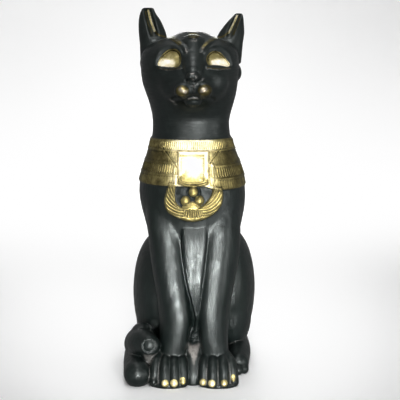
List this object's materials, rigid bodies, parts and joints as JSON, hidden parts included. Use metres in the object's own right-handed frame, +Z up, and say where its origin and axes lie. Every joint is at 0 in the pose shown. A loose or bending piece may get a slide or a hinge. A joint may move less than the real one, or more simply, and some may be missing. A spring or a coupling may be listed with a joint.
{
  "type": "bastet cat statue",
  "caption": "Seated black cat statue in the ancient Egyptian manner, with a gold-painted broad collar, chest plate, winged scarab, eyes and claws, and its tail curled round the side.",
  "frame": {"origin": "on the ground in the middle of the underside, below the neck", "axes": "+Z up, the cat faces -Y, and its left side is at +X"},
  "size_m": [0.1878, 0.2605, 0.5004],
  "materials": {
    "black_paint": "satin black paint over a cast body, with gold paint on the collar, pendant, eyes, brows, ears, muzzle and claws"
  },
  "bodies": {
    "root": {"cat_statue": "black_paint"}
  },
  "joints": []
}
